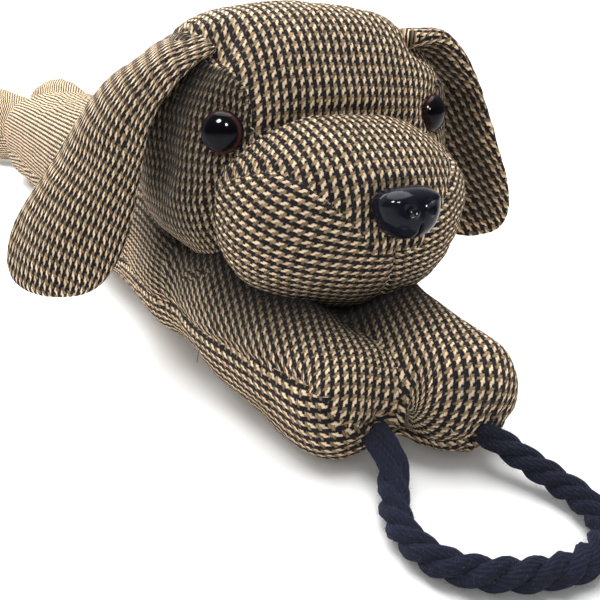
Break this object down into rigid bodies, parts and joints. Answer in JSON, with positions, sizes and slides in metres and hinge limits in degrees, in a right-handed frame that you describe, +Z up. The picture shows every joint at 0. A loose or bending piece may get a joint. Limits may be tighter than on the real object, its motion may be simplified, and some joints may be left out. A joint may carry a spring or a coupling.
{
  "type": "draught excluder",
  "caption": "Draught excluder shaped as a lying puppy: long stuffed dogtooth tweed body, floppy ears, domed eyes, glossy nose and a twisted cord handle at the front paws.",
  "frame": {"origin": "on the floor under the middle of the stuffed pieces", "axes": "+X to the puppy's left, +Y along its back from head to hind end, +Z up"},
  "size_m": [0.2414, 0.8981, 0.154],
  "materials": {
    "tweed": "woven wool-look dogtooth tweed, cream and navy black",
    "lens": "clear brown, glossy",
    "pupil": "black",
    "nose": "navy black, glossy",
    "cord": "twisted cotton cord, navy"
  },
  "bodies": {
    "root": {"body": "tweed", "head": "tweed", "muzzle": "tweed", "ear_right": "tweed", "ear_left": "tweed", "eye_right": "lens", "eye_left": "lens", "pupil_right": "pupil", "pupil_left": "pupil", "nose": "nose", "rope_handle": "cord"}
  },
  "joints": []
}
